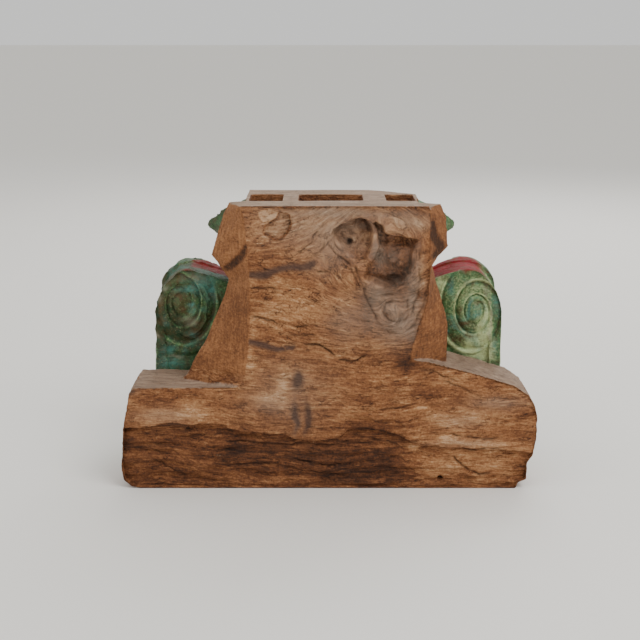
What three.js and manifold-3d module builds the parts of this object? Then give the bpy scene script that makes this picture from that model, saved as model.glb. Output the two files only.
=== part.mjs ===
// An old timber capital, hewn from one block: a rough log-like back that once sat in a wall, a carved and
// painted front with two scrolls, and a moulded head with three mortises in its top.
// Millimetres. X runs along the log, Y from the rough back to the carved front, Z is up.
import * as THREE from 'three';
import { mergeVertices } from 'three/addons/utils/BufferGeometryUtils.js';
import Module from 'manifold-3d';

const wasm = await Module();
wasm.setup();

// Overall sizes
const logLength = 524;
const height = 360;
const depth = 204;

// The rough log across the back, and its two arms
const logDepth = 88;
const leftArmHeight = 134;
const rightArmRise = 38;
const hewnEdge = 4;

// The hewn body above the log, with a sawn facet on each side
const backHalfWidth = 135;
const leftFacetDepth = 40;
const rightFacetDepth = 24;
const facetReturn = 12;

// The carved head at the top of the front: a moulded slab with hollow sides and a horn at each front corner
const headHalfWidth = 108;
const headShift = 4.5;
const headTopDepth = 155;
const headStart = 65;
const headHeight = 85;
const headSwell = 22;
const hornReach = 63;
const brokenCornerWidth = 60;
const brokenCornerDepth = 42;
const brokenCornerDrop = 7;

// Rosette in the middle of the head
const rosetteRadius = 29;
const rosettePetals = 8;
const rosetteBoss = 10;

// Bell and plinth of the front
const neckHalfWidth = 122;
const neckDepth = 163;
const neckBead = 6;
const bellHalfWidth = 200;
const bellDepth = 189;
const plinthHalfWidth = 229;
const plinthHeight = 128;
const plinthDepth = 202;

// Scrolls at the two sides of the bell
const scrollOuter = 227;
const scrollTop = 264;
const scrollStart = 90;
const scrollLength = 105;
const scrollCoreLength = 72;
const scrollEyeInset = 44;
const scrollEyeDrop = 55;
const scrollRelief = 5;
const scrollFlare = 8;
const bandWidth = 16;
const turnHeightRatio = 1.33;
const turnShrink = 0.0645;
const bossRadius = 13;
const crownGrooveWidth = 42;
const crownGrooveDepth = 2.5;
const crownThickness = 20;
const crownOverlap = 12;

// Palmette in the middle of the front
const palmetteHeight = 128;
const palmetteLobes = 7;
const palmetteRelief = 13;

// Mortises in the top
const mortiseDepth = 45;
const mortiseWidth = 58;
const mortiseBackWall = 52;
const middleMortiseLength = 80;
const middleMortiseShift = 3;
const leftBridge = 20;
const rightBridge = 29;
const mortiseEndWall = 5;

// Knot hollow in the hewn back
const knotDepth = 24;
const knotSpread = 27;
const knotMiddleX = 57;
const knotDrop = 55;

// How far one form runs into the next
const overlap = 8;

const backY = -depth / 2;
const logFrontY = backY + logDepth;
const foot = plinthHeight - 20;

// A closed mesh with loose corners becomes a solid.
function solidFrom(geometry) {
  const bare = geometry.clone();
  bare.deleteAttribute('normal');
  bare.deleteAttribute('uv');
  const merged = mergeVertices(bare, 1e-4);
  return new wasm.Manifold(new wasm.Mesh({
    numProp: 3,
    vertProperties: new Float32Array(merged.attributes.position.array),
    triVerts: new Uint32Array(merged.index.array),
  }));
}

// A skin over rings with equal counts of points, closed by a flat cap at each end.
function loft(rings) {
  const count = rings[0].length;
  const points = rings.flat();
  const faces = [];
  for (let r = 0; r + 1 < rings.length; r += 1) {
    for (let i = 0; i < count; i += 1) {
      const next = (i + 1) % count;
      const a = r * count + i;
      const b = r * count + next;
      faces.push(a, b, b + count, a, b + count, a + count);
    }
  }
  const flat = rings[0].map((p) => new THREE.Vector2(p.x, p.y));
  const last = (rings.length - 1) * count;
  for (const [a, b, c] of THREE.ShapeUtils.triangulateShape(flat, [])) {
    faces.push(a, c, b, last + a, last + b, last + c);
  }
  const geometry = new THREE.BufferGeometry().setFromPoints(points);
  geometry.setIndex(faces);
  return solidFrom(geometry);
}

// A flat outline in X and Z, pushed along Y from one depth to another.
function slab(outline, fromY, toY, bevel = 0) {
  const geometry = new THREE.ExtrudeGeometry(new THREE.Shape(outline), {
    depth: toY - fromY - 2 * bevel,
    bevelEnabled: bevel > 0,
    bevelThickness: bevel,
    bevelSize: bevel,
    bevelOffset: -bevel,
    bevelSegments: 2,
    curveSegments: 10,
  });
  geometry.rotateX(Math.PI / 2);
  geometry.translate(0, toY - bevel, 0);
  return solidFrom(geometry);
}

function block(x0, x1, y0, y1, z0, z1) {
  const geometry = new THREE.BoxGeometry(x1 - x0, y1 - y0, z1 - z0);
  geometry.translate((x0 + x1) / 2, (y0 + y1) / 2, (z0 + z1) / 2);
  return solidFrom(geometry);
}

function ellipsoid(radii, centre, turn = new THREE.Euler(), fineness = 16) {
  const geometry = new THREE.SphereGeometry(1, fineness, fineness / 2);
  geometry.scale(...radii);
  geometry.applyMatrix4(new THREE.Matrix4().makeRotationFromEuler(turn));
  geometry.translate(...centre);
  return solidFrom(geometry);
}

const vec2 = (x, z) => new THREE.Vector2(x, z);
const mirrored = (solid) => solid.mirror([1, 0, 0]);

// The log: its outline as shares of half its length and of the left arm's height. The right end is rounded
// above and broken below, and the right arm climbs to the body.
function makeLog() {
  const half = logLength / 2;
  const arm = leftArmHeight;
  const rise = rightArmRise / leftArmHeight;
  const shares = [
    [-0.91, 0], [-0.955, 0.02], [-0.99, 0.08], [-1, 0.2], [-0.985, 0.58], [-0.95, 0.93], [-0.925, 1],
    [-0.38, 1], [-0.3, 1.5], [0.3, 1.5], [0.4, 1 + rise], [0.7, 1 + rise * 0.45], [0.88, 1.02],
    [0.95, 0.93], [0.985, 0.82],
    [1, 0.7], [1, 0.48], [0.985, 0.33], [0.96, 0.25], [0.96, 0.09], [0.915, 0.055], [0.91, 0],
  ];
  const outline = shares.map(([x, z]) => vec2(x * half, z * arm));
  return slab(outline, backY, logFrontY, hewnEdge);
}

// The hewn body: flat back, a sawn facet at each side, wide at the head, waisted, and flared to the log.
// Behind the facets it draws in to the head. Rows: height share, then left near, left far, right near and right
// far edge, and the back's half width on the left and right, all as shares of the half width.
function makeHewnBody() {
  const rows = [
    [0.28, -0.78, -1.3, 0.71, 1.04, 1.2, 1.04],
    [0.36, -0.78, -1.42, 0.71, 1.06, 1.3, 1.06],
    [0.4, -0.77, -1.32, 0.73, 1.08, 1.2, 1.08],
    [0.455, -0.75, -1.25, 0.73, 1.1, 1.1, 1.05],
    [0.51, -0.735, -1.16, 0.76, 1.11, 1, 1],
    [0.58, -0.72, -1.08, 0.82, 1.11, 0.95, 0.95],
    [0.675, -0.71, -0.97, 0.9, 1.04, 0.88, 0.88],
    [0.73, -0.71, -0.93, 0.91, 0.99, 0.82, 0.82],
    [0.79, -0.72, -1.03, 0.92, 0.95, 0.76, 0.82],
    [0.815, -0.725, -1.09, 0.92, 1, 0.76, 0.82],
    [0.853, -0.735, -1.06, 0.9, 1.09, 0.76, 0.82],
    [0.953, -0.755, -0.975, 0.91, 1.07, 0.76, 0.82],
    [1, -0.785, -0.91, 0.9, 1.015, 0.76, 0.82],
  ];
  const leftFar = backY + leftFacetDepth;
  const rightFar = backY + rightFacetDepth;
  const innerY = backY + scrollStart + scrollRelief + overlap;
  const rings = rows.map(([z, leftNear, leftEdge, rightNear, rightEdge, leftBack, rightBack]) => [
    [leftNear, backY], [rightNear, backY], [rightEdge, rightFar], [rightBack, rightFar + facetReturn],
    [rightBack, innerY], [-leftBack, innerY], [-leftBack, leftFar + facetReturn], [leftEdge, leftFar],
  ].map(([x, y]) => new THREE.Vector3(x * backHalfWidth, y, z * height)));
  return loft(rings);
}

// A plan ring of the carved front: straight at the back, then a side, a front corner, the front and back again.
// The corner reaches out past the side and the front by the horn's reach, and the edges between are hollow.
function frontRing(halfWidth, front, z, startY, horn, shift) {
  const steps = 6;
  const side = [];
  const face = [];
  const corner = new THREE.Vector2(halfWidth + horn, front + horn * 0.55);
  const sideCurve = new THREE.QuadraticBezierCurve(
    vec2(halfWidth, startY), vec2(halfWidth, front - horn * 0.4), corner,
  );
  const faceCurve = new THREE.QuadraticBezierCurve(corner, vec2(halfWidth * 0.8, front), vec2(0, front));
  for (let i = 0; i < steps; i += 1) {
    side.push(sideCurve.getPoint(i / steps));
    face.push(faceCurve.getPoint(i / steps));
  }
  const right = [...side, ...face, vec2(0, front)];
  const left = right.slice(0, -1).reverse().map((p) => vec2(-p.x, p.y));
  return [...right, ...left].map((p) => new THREE.Vector3(p.x + shift, p.y, z));
}

// Head and bell in one profile: the head swells to a ridge with a horn at each corner, draws in to a beaded
// neck, and the bell spreads below. Rows: half width, front, height and horn reach.
function makeFront() {
  const topFront = backY + headTopDepth;
  const neckFront = backY + neckDepth;
  const bellFront = backY + bellDepth;
  const neckZ = height - headHeight;
  const spread = (share) => THREE.MathUtils.lerp(neckHalfWidth, bellHalfWidth, share);
  const bellZ = (share) => THREE.MathUtils.lerp(neckZ - 12, plinthHeight - 6, share);
  const bellY = (share) => THREE.MathUtils.lerp(neckFront, bellFront, share);
  const rows = [
    [headHalfWidth, topFront, height, 0],
    [headHalfWidth + 2, topFront + 2, height - headHeight * 0.13, 0],
    [
      headHalfWidth + headSwell * 0.5, topFront + headSwell * 0.5, height - headHeight * 0.32,
      hornReach * 0.4,
    ],
    [headHalfWidth + headSwell, topFront + headSwell, height - headHeight * 0.58, hornReach * 0.64],
    [headHalfWidth + headSwell, topFront + headSwell, height - headHeight * 0.69, hornReach * 0.6],
    [neckHalfWidth + 2, topFront + headSwell * 0.8, height - headHeight * 0.82, hornReach * 0.36],
    [neckHalfWidth, neckFront, neckZ, 3],
    [neckHalfWidth + neckBead, neckFront + neckBead, neckZ - 4, 0],
    [neckHalfWidth + neckBead, neckFront + neckBead, neckZ - 10, 0],
    [neckHalfWidth, neckFront, neckZ - 14, 0],
    [spread(0.06), bellY(0.1), bellZ(0.2), 0],
    [spread(0.35), bellY(0.35), bellZ(0.5), 0],
    [spread(0.78), bellY(0.75), bellZ(0.8), 0],
    [spread(1), bellY(1), bellZ(1), 0],
  ];
  const bellStart = backY + scrollStart + scrollRelief + overlap / 2;
  const shift = (z) => headShift * THREE.MathUtils.clamp((z - neckZ) / (headHeight * 0.18), 0, 1);
  const rings = rows.map(([half, front, z, horn]) => frontRing(
    half, front, z, z < neckZ ? bellStart : backY + headStart, horn, shift(z),
  )).reverse();
  const cut = [
    vec2(headHalfWidth - brokenCornerWidth, topFront + 1),
    vec2(headHalfWidth + headSwell, topFront + 1),
    vec2(headHalfWidth + headSwell, topFront - brokenCornerDepth * 1.5),
    vec2(headHalfWidth + 2, topFront - brokenCornerDepth),
  ];
  const settings = { depth: brokenCornerDrop * 3, bevelEnabled: false };
  const broken = new THREE.ExtrudeGeometry(new THREE.Shape(cut), settings);
  broken.translate(headShift, 0, height - brokenCornerDrop);
  return loft(rings).subtract(solidFrom(broken));
}

// A rosette in the middle of the head: petals round a boss, facing the front.
function makeRosette() {
  const faceY = backY + headTopDepth + headSwell * 0.6;
  const bulge = depth / 2 - faceY;
  const z = height - headHeight * 0.5;
  const parts = [ellipsoid([rosetteBoss, bulge, rosetteBoss], [headShift, faceY, z])];
  const half = (rosetteRadius - rosetteBoss * 0.5) / 2;
  for (let i = 0; i < rosettePetals; i += 1) {
    const lobe = ellipsoid([half * 0.62, bulge * 0.62, half], [0, 0, rosetteRadius - half], undefined, 12);
    parts.push(lobe.rotate([0, (360 / rosettePetals) * i, 0]).translate([headShift, faceY, z]));
  }
  return parts;
}

// The plinth under the bell, its front and ends moulded alike. Rows: height share, and set-back.
function makePlinth() {
  const rows = [[0, 2], [0.03, 0], [0.28, 0], [0.34, 7], [0.46, 10], [0.54, 4], [0.6, 2], [0.68, 4],
    [0.72, 9], [0.84, 9], [0.9, 1], [1, 1]];
  const rings = rows.map(([share, inset]) => frontRing(
    plinthHalfWidth - inset, backY + plinthDepth - inset, share * plinthHeight, logFrontY - 4, 0, 0,
  ));
  return loft(rings);
}

// The scroll's outer edge on the right: out from the neck, over the crown, and down to its foot.
function scrollEdge(inset, flare) {
  const outer = scrollOuter - inset;
  const top = scrollTop - inset;
  const eyeX = scrollOuter - scrollEyeInset;
  return new THREE.SplineCurve([
    vec2(neckHalfWidth - 20, top - 20), vec2(neckHalfWidth + 10, top - 14), vec2(eyeX - 33, top - 7),
    vec2(eyeX - 17, top - 2), vec2(eyeX, top), vec2(eyeX + 15 + flare * 0.4, top - 5 + flare * 0.2),
    vec2(outer - 14 + flare * 0.9, top - 22 + flare * 0.4),
    vec2(outer - 7 + flare * 0.8, top - 42 + flare * 0.4),
    vec2(outer - 3 + flare * 0.35, top - 68), vec2(outer, top - 112), vec2(outer, foot),
  ]).getPoints(34);
}

// Centre line of the band at a turn angle, moved sideways by a share of the band's half width: an upright oval
// spiral that closes in on the eye.
function spiralPoint(angle, sideways) {
  const shrink = Math.exp(-turnShrink * angle);
  const reach = (scrollEyeInset - bandWidth / 2 - 1) * shrink;
  const half = bandWidth / 2 * shrink ** 3 * sideways;
  return vec2(
    scrollOuter - scrollEyeInset + (reach + half) * Math.cos(angle),
    scrollTop - scrollEyeDrop + (reach * turnHeightRatio + half) * Math.sin(angle),
  );
}

function bandOutline() {
  const steps = 52;
  const turns = 2.1;
  const outer = [];
  const inner = [];
  for (let i = 0; i <= steps; i += 1) {
    const angle = i / steps * turns * Math.PI * 2;
    outer.push(spiralPoint(angle, 1));
    inner.push(spiralPoint(angle, -1));
  }
  return [vec2(outer[0].x, foot), ...outer, ...inner.reverse(), vec2(spiralPoint(0, -1).x, foot)];
}

// The scroll's front half follows the spiral on its inner side too, so that it stands free of the bell.
function freeOutline(inset) {
  const edge = scrollEdge(inset, scrollFlare).filter((p) => p.x > scrollOuter - scrollEyeInset).reverse();
  const around = [];
  const steps = 14;
  for (let i = 0; i <= steps; i += 1) {
    around.push(spiralPoint(THREE.MathUtils.lerp(1.9, 5.7, i / steps), 1));
  }
  return [...edge, ...around, vec2(spiralPoint(0, -1).x, foot)];
}

// The crown's strip from the neck to past the eye, which closes the scroll's top at the front.
function crownOutline(inset) {
  const end = scrollOuter - scrollEyeInset + crownOverlap;
  const edge = scrollEdge(inset, scrollFlare).filter((p) => p.x < end);
  const under = edge.map((p) => vec2(p.x, p.y - crownThickness)).reverse();
  return [...edge, ...under];
}

// The strip's front end is cut on a slope in plan, from the neck's front out to the scroll's far face.
function crownStrip(near, far) {
  const startX = neckHalfWidth - 20;
  const startY = backY + neckDepth + 1;
  const reach = scrollOuter - scrollEyeInset - startX;
  const turn = THREE.MathUtils.radToDeg(Math.atan2(far - startY, reach));
  const beyond = block(-overlap, 2 * reach, 0, reach, 0, height).rotate([0, 0, turn]);
  return slab(crownOutline(0), near, far).subtract(beyond.translate([startX, startY, 0]));
}

// A scroll: a thick slab with a recessed face on both sides, a raised spiral band, a boss at the eye, and a
// shallow groove round its crown.
function makeScroll() {
  const near = backY + scrollStart;
  const far = near + scrollLength;
  const middle = near + scrollCoreLength;
  const grooveNear = (near + far - crownGrooveWidth) / 2;
  const grooveFar = grooveNear + crownGrooveWidth;
  const closed = (inset, flare) => [...scrollEdge(inset, flare), vec2(neckHalfWidth - 20, foot)];
  const eye = [scrollOuter - scrollEyeInset, (near + far) / 2, scrollTop - scrollEyeDrop];
  const radii = [bossRadius, scrollLength / 2 + 1, bossRadius * turnHeightRatio];
  const parts = [
    slab(closed(0, 0), near + scrollRelief, grooveNear),
    slab(closed(crownGrooveDepth, scrollFlare / 2), grooveNear - 1, middle),
    slab(freeOutline(crownGrooveDepth), middle - 1, far - scrollRelief),
    slab(freeOutline(0), grooveFar, far - scrollRelief),
    slab(crownOutline(crownGrooveDepth), middle - 1, grooveFar + 1),
    crownStrip(grooveFar, far - scrollRelief),
    slab(bandOutline(), near, far),
    ellipsoid(radii, eye),
  ];
  return parts.reduce((sum, part) => sum.add(part));
}

// A palmette on the bell: lobes that fan out from its foot, each a low rounded ridge.
function makePalmette() {
  const lean = Math.atan2(bellDepth - neckDepth, height - headHeight - plinthHeight);
  const footZ = plinthHeight - 6;
  const footY = backY + bellDepth - 3;
  const lobes = [];
  for (let i = 0; i < palmetteLobes; i += 1) {
    const share = (i / (palmetteLobes - 1)) * 2 - 1;
    const angle = share * 1.3;
    const reach = palmetteHeight * (1 - 0.42 * share * share);
    const half = reach / 2;
    const lobe = ellipsoid([half * 0.27, palmetteRelief, half], [0, 0, half], undefined, 16);
    const spread = lobe.rotate([0, THREE.MathUtils.radToDeg(angle), 0]);
    lobes.push(spread.rotate([THREE.MathUtils.radToDeg(lean), 0, 0]).translate([0, footY, footZ]));
  }
  return lobes;
}

// Three mortises in a row: a long one in the middle and a shorter one at each side.
function makeMortises() {
  const near = backY + mortiseBackWall;
  const far = near + mortiseWidth;
  const floor = height - mortiseDepth;
  const above = height + 20;
  const middleLeft = middleMortiseShift - middleMortiseLength / 2;
  const middleRight = middleMortiseShift + middleMortiseLength / 2;
  const end = headHalfWidth - mortiseEndWall;
  return [
    block(headShift - end, middleLeft - leftBridge, near, far, floor, above),
    block(middleLeft, middleRight, near, far, floor, above),
    block(middleRight + rightBridge, headShift + end, near, far, floor, above),
  ];
}

// The knot's hollow: a group of rounded scoops that run into each other. Each row gives a scoop's place from the
// knot's middle and its radii, as shares of the spread, and its share of the depth.
function makeKnotHollow() {
  const scoops = [
    [-1.15, 0.55, 0.78, 0.72, 0.75],
    [-0.55, 1.05, 0.55, 0.42, 0.95],
    [-0.85, 0.05, 0.8, 0.9, 0.4],
    [-0.1, 0.1, 0.6, 1, 0.4],
    [0.85, 0.25, 0.85, 0.7, 0.7],
    [0.8, -0.6, 0.85, 0.85, 0.65],
    [0.75, -1.25, 0.75, 0.42, 0.85],
    [1.45, -0.35, 0.4, 0.95, 0.6],
  ];
  return scoops.map(([x, z, halfWidth, halfHeight, share]) => ellipsoid(
    [knotSpread * halfWidth, knotDepth * share, knotSpread * halfHeight],
    [knotMiddleX + knotSpread * x, backY, height - knotDrop + knotSpread * z],
  ));
}

const scroll = makeScroll();
const added = [makeFront(), makeHewnBody(), makePlinth(), scroll, mirrored(scroll),
  ...makeRosette(), ...makePalmette()];
let capital = added.reduce((sum, part) => sum.add(part), makeLog());
for (const cut of [...makeMortises(), ...makeKnotHollow()]) {
  capital = capital.subtract(cut);
}

const cutMesh = capital.getMesh();
const geometry = new THREE.BufferGeometry();
geometry.setAttribute('position', new THREE.BufferAttribute(cutMesh.vertProperties, 3));
geometry.setIndex(new THREE.BufferAttribute(cutMesh.triVerts, 1));

const agedTimber = new THREE.MeshStandardMaterial({ color: 0x8a5a3c, roughness: 0.85, metalness: 0 });
const mesh = new THREE.Mesh(geometry, agedTimber);
mesh.name = 'carved_capital';

const group = new THREE.Group();
group.add(mesh);
export default group;
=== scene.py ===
# %% [markdown]
# # An old carved timber capital
# This capital was hewn from one block of hardwood. Its back was hidden in the building and was left rough.
# Its front and its two scrolls were carved, primed and painted green and red. We build the fine surface
# over the part's own solid, then one finish that shows bare timber and old paint.

import bmesh
import bpy
import numpy as np
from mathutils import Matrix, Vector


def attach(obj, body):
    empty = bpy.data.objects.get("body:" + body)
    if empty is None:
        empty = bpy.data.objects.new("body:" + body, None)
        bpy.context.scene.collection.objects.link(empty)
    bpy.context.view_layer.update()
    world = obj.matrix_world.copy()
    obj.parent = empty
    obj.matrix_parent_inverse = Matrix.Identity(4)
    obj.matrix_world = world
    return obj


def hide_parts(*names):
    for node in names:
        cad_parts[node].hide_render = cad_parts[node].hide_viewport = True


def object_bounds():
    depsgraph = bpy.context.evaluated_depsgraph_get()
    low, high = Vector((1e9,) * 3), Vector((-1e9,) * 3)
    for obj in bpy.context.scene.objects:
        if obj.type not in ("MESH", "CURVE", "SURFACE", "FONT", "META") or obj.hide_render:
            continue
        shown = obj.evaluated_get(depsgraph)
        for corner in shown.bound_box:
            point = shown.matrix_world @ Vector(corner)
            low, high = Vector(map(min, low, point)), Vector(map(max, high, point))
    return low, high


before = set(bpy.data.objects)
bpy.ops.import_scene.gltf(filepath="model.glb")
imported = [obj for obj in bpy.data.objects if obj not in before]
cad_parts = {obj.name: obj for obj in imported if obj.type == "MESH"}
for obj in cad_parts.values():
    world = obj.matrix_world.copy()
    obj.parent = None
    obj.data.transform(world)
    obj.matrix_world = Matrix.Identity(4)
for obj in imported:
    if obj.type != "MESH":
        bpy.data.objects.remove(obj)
cad_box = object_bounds()
MM = 0.001
print("frame box", cad_box)

# %% [markdown]
# ## The camera
# A 70 mm lens looks 13.5 degrees down on the rough back, from about one and a half metres. A longer lens
# would flatten the top, and a shorter one would show more of the arms' upper faces than the photo does.

# %% Camera
LOOK_DOWN = 13.5

camera_data = bpy.data.cameras.new("camera")
camera_data.lens = 70
camera_data.sensor_width = 36
camera = bpy.data.objects.new("camera", camera_data)
camera.location = (-0.0105, -1.5836, 0.5757)
camera.rotation_euler = (np.radians(90 - LOOK_DOWN), 0, 0)
bpy.context.collection.objects.link(camera)
bpy.context.scene.camera = camera

# %% [markdown]
# ## Sizes that the surface follows
# The fine surface has to meet the solid's own forms, so the solid's main sizes are written down here once,
# in millimetres. X runs along the log, Y from the rough back to the carved front, and Z is up.

# %% Sizes
BACK = -102.0
LOG_FRONT = -14.0
TOP = 360.0
EYE_X = 183.0
EYE_Z = 209.0
EYE_OVAL = 1.36
SCROLL_INNER = 128.0
SCROLL_NEAR = -12.0
SCROLL_FAR = 93.0
PLINTH_TOP = 122.0
MORTISE_Y = (-50.0, 8.0)
MORTISE_FLOOR = 315.0
KNOT = (57.0, 305.0)
BURL = (76.0, 230.0)
ROSETTE_Z = 317.5
HEAD_SHIFT = 4.5

# %% [markdown]
# ## Noise
# Old timber is uneven in a way that no formula draws line by line, so we use value noise: a random number
# at each corner of a grid, blended smoothly between the corners. Stretched along X it gives fibres, and
# several sizes added together give a weathered surface. Blender has noise of its own, but point by point,
# and half a million points want whole arrays.

# %% Noise
def corner_value(ix, iy, iz, seed):
    """A repeatable number from 0 to 1 for whole corners: their sum of products, with its bits mixed."""
    mixed = (ix * 374761393 + iy * 668265263 + iz * 1103515245 + seed * 974711) & 0xFFFFFFFF
    mixed = ((mixed ^ (mixed >> 13)) * 1274126177) & 0xFFFFFFFF
    return (mixed ^ (mixed >> 16)) / 4294967295.0


def noise(points, size, seed=0):
    """Value noise from -1 to 1. size is the grid's step in mm along X, Y and Z. Each point takes the eight
    corners round it, weighted by 3 t squared minus 2 t cubed along each axis."""
    scaled = points / np.asarray(size, float)
    cell = np.floor(scaled)
    t = scaled - cell
    t = t * t * (3 - 2 * t)
    ix, iy, iz = cell.astype(np.int64).T
    total = np.zeros(len(points))
    for dx in (0, 1):
        wx = t[:, 0] if dx else 1 - t[:, 0]
        for dy in (0, 1):
            wy = t[:, 1] if dy else 1 - t[:, 1]
            for dz in (0, 1):
                wz = t[:, 2] if dz else 1 - t[:, 2]
                total += wx * wy * wz * corner_value(ix + dx, iy + dy, iz + dz, seed)
    return total * 2 - 1


def layered(points, size, seed=0, layers=3):
    """Several noises added, each half as large and half as strong as the one before."""
    size = np.asarray(size, float)
    total = np.zeros(len(points))
    for k in range(layers):
        total += noise(points, size / 2**k, seed + k * 17) / 2**k
    return total


def ramp(value, low, high):
    """0 below low, 1 above high, and a smooth step between."""
    t = np.clip((value - low) / (high - low), 0, 1)
    return t * t * (3 - 2 * t)


def line_distance(x, z, line):
    """Distance in the XZ plane from each point to a line with corners, in mm."""
    nearest = np.full(len(x), 1e9)
    for (x0, z0), (x1, z1) in zip(line[:-1], line[1:]):
        length = (x1 - x0) ** 2 + (z1 - z0) ** 2
        t = np.clip(((x - x0) * (x1 - x0) + (z - z0) * (z1 - z0)) / length, 0, 1)
        nearest = np.minimum(nearest, np.hypot(x - x0 - t * (x1 - x0), z - z0 - t * (z1 - z0)))
    return nearest


def spot(x, z, cx, cz, rx, rz):
    """A soft oval spot: 1 in the middle, falling off as a bell curve with the two radii."""
    return np.exp(-(((x - cx) / rx) ** 2) - ((z - cz) / rz) ** 2)

# %% [markdown]
# ## Where the back is split, cracked and worn
# The lower part of the log has lost a layer of wood: a long ledge shows where it split off along the grain.
# Cracks, splinters and a knot with two hollows are the other marks. Each is a short line or a spot on the
# back, as X and Z in millimetres.

# %% Marks on the back
LEDGE = [
    (-262, 78), (-242, 80), (-223, 82), (-210, 86), (-195, 86), (-178, 84), (-161, 86), (-131, 85),
    (-126, 80), (-111, 76), (-83, 73), (-54, 71), (-43, 65), (-23, 63), (-4, 64), (15, 69), (27, 78),
    (46, 80), (71, 76), (90, 69), (105, 61), (115, 57), (134, 55), (172, 53), (197, 52), (262, 46),
]
SECOND_LEDGE = [(20, 99), (23, 97), (39, 95), (64, 93), (83, 92), (96, 84)]
# Each crack: its depth in mm, then its line.
CRACKS = [
    (1.9, [(28, 292), (38, 272), (46, 252), (52, 232), (62, 212), (76, 203), (90, 202)]),
    (1.6, [(90, 202), (104, 214), (116, 235), (120, 262), (118, 288)]),
    (2.2, [(81, 245), (71, 238), (68, 228), (73, 219), (84, 216), (94, 222)]),
    (2.0, [(112, 310), (110, 290), (112, 268), (111, 248), (104, 236), (99, 222)]),
    (3.4, [(-80, 329), (-74, 321), (-66, 317), (-56, 320), (-50, 327), (-46, 338), (-48, 349)]),
    (1.8, [(-42, 298), (-26, 312), (-12, 330), (-4, 344)]),
    (1.6, [(-30, 292), (-14, 302), (0, 320)]),
    (2.0, [(-4, 330), (0, 312), (12, 298), (24, 286), (34, 272), (40, 256)]),
    (3.6, [(-35, 188), (-22, 188), (-10, 186), (2, 179), (14, 169), (27, 167), (39, 171), (57, 173),
           (67, 173)]),
    (2.8, [(-98, 225), (-78, 220), (-66, 219), (-62, 216), (-35, 212), (-22, 213)]),
    (2.4, [(-20, 282), (-4, 280), (4, 274)]),
    (2.2, [(-100, 262), (-70, 258), (-58, 254)]),
    (2.6, [(-258, 57), (-243, 53), (-224, 55), (-205, 55)]),
    (2.6, [(-227, 52), (-214, 45), (-200, 41)]),
    (2.6, [(-227, 37), (-212, 32), (-200, 25), (-187, 17)]),
    (3.2, [(-136, 61), (-98, 61), (-48, 58), (2, 58), (40, 62), (90, 59), (114, 60)]),
    (3.0, [(-61, 45), (-48, 39), (-36, 37), (-17, 31), (2, 28), (30, 30)]),
    (2.8, [(127, 73), (152, 73), (177, 69), (215, 65)]),
    (2.4, [(112, 51), (103, 45), (84, 40), (60, 41)]),
    (2.2, [(140, 144), (157, 136), (176, 127), (195, 120)]),
    (2.0, [(100, 158), (119, 156), (138, 150), (160, 141)]),
    (3.0, [(155, 46), (161, 39), (168, 31), (176, 23), (189, 19), (210, 17)]),
    (2.6, [(150, 55), (172, 51), (182, 50), (196, 53), (225, 52)]),
    (2.0, [(-30, 20), (20, 17), (60, 20), (95, 16)]),
    (2.0, [(-180, 68), (-140, 70), (-100, 67), (-60, 65)]),
    (2.0, [(-150, 34), (-110, 31), (-70, 33), (-30, 24)]),
    (2.4, [(60, 104), (88, 106), (98, 110), (108, 107)]),
    (1.8, [(-56, 203), (-35, 198), (-10, 201)]),
    (1.8, [(-238, 155), (-231, 147), (-221, 141), (-211, 136)]),
    (1.8, [(-246, 142), (-239, 137), (-234, 134)]),
    (1.8, [(28, 290), (38, 276), (46, 262), (46, 248)]),
    (1.8, [(88, 212), (97, 226), (95, 240), (99, 250)]),
    (1.6, [(60, 248), (76, 252), (92, 250)]),
]
# Shallow cuts along the notches of the sawn sides, with half their width; the notches' shadow is painted over
# them. Raised chips, the flaked patch round them, and the rims of the knot's two hollows, as corners.
NOTCH_CUTS_AND_SHADOWS = [(4.5, [(-96, 314), (-107, 297), (-118, 285), (-125, 279)]),
          (6.0, [(123, 337), (128, 322), (137, 308), (131, 299)])]
CHIPS = [[(-86, 354), (-70, 356), (-57, 352), (-63, 344), (-73, 339), (-80, 335), (-85, 345)],
         [(-80, 328), (-73, 322), (-71, 316), (-85, 312), (-90, 317), (-84, 322)]]
FLAKE = [(-86, 352), (-80, 341), (-79, 335), (-81, 329), (-74, 322), (-66, 317), (-52, 323), (-46, 338),
         (-48, 349), (-66, 354)]
KNOT_LEFT = [(3, 324), (5, 331), (14, 337), (28, 343), (37, 345), (46, 343), (51, 336), (53, 324), (52, 312),
             (50, 300), (44, 290), (33, 288), (22, 297), (12, 310)]
KNOT_RIGHT = [(53, 338), (58, 342), (66, 336), (69, 329), (76, 325), (88, 324), (100, 322), (110, 319),
              (105, 312), (102, 300), (102, 285), (101, 275), (93, 268), (84, 263), (75, 260), (67, 258),
              (60, 262), (53, 267), (47, 266), (43, 272), (46, 287), (56, 297), (60, 312), (57, 327)]
# The sawn facets' edges on the back, as height and X.
LEFT_EDGE = [(148, -104), (184, -99), (209, -97), (243, -96), (284, -97), (307, -99), (343, -102), (360, -106)]
RIGHT_EDGE = [(148, 99), (184, 103), (209, 111), (243, 121), (284, 124), (307, 122), (343, 123), (360, 121)]
# Dark streaks: half their width, then the line. Then dark upright marks on the foot: middle and two radii.
STREAKS = [
    (6.0, [(-92, 275), (-77, 277), (-59, 283), (-41, 286), (-20, 288)]),
    (4.2, [(-103, 191), (-82, 188), (-62, 184), (-42, 185)]),
]
DARK_MARKS = [(-40, 96, 3, 17), (-28, 94, 4, 19), (-37, 142, 6, 12)]


# Small round holes: middle, radius, radius of the painted shade in and round it, and depth.
SMALL_HOLES = [(26, 314, 3.1, 3.6, 7.0), (142, 12, 3.0, 3.4, 6.0)]


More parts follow.
